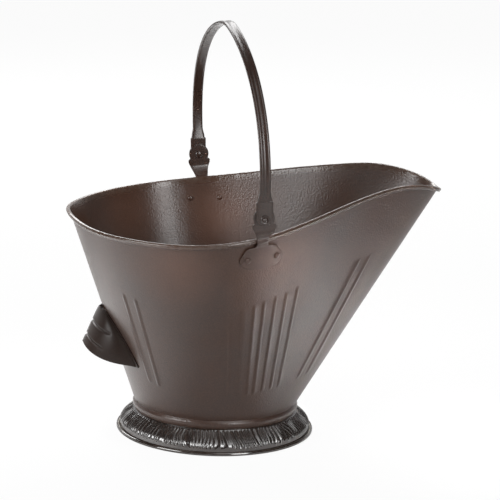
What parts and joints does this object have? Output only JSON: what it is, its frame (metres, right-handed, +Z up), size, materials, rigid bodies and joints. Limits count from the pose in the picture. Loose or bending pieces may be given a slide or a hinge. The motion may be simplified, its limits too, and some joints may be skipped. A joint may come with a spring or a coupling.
{
  "type": "coal scuttle",
  "caption": "Egg-shaped sheet metal coal bucket with a long pouring lip, a flared foot ring, a rear hand grip and a swinging bail handle.",
  "frame": {"origin": "on the floor, under the middle of the body's length from the back of the rim to the tip of the lip", "axes": "+X towards the pouring lip, +Y along the bail's pivots towards the left ear, +Z up"},
  "size_m": [0.4313, 0.3664, 0.4725],
  "materials": {
    "body_paint": "semi-gloss dark bronze paint with soft copper patches",
    "foot_paint": "semi-gloss dark bronze paint",
    "handle_paint": "semi-gloss dark brown paint",
    "grip_paint": "semi-gloss dark brown paint",
    "bare_wire": "plain drawn wire"
  },
  "bodies": {
    "scuttle": {"body_shell": "body_paint", "rim_wire": "bare_wire", "bottom_pan": "body_paint", "foot_ring": "foot_paint", "foot_wire": "bare_wire", "ear_left": "handle_paint", "ear_right": "handle_paint", "ear_rivet_left_rear": "handle_paint", "ear_rivet_left_front": "handle_paint", "ear_rivet_right_rear": "handle_paint", "ear_rivet_right_front": "handle_paint", "pivot_rivet_left": "handle_paint", "pivot_rivet_right": "handle_paint", "tilt_grip": "grip_paint"},
    "bail": {"bail_handle": "handle_paint"}
  },
  "joints": [
    {"name": "bail_swing", "type": "hinge", "parent": "scuttle", "child": "bail", "pos_m": [-0.031, 0, 0.28575], "axis": [0, 1, 0], "range_deg": [-94, 87]}
  ]
}
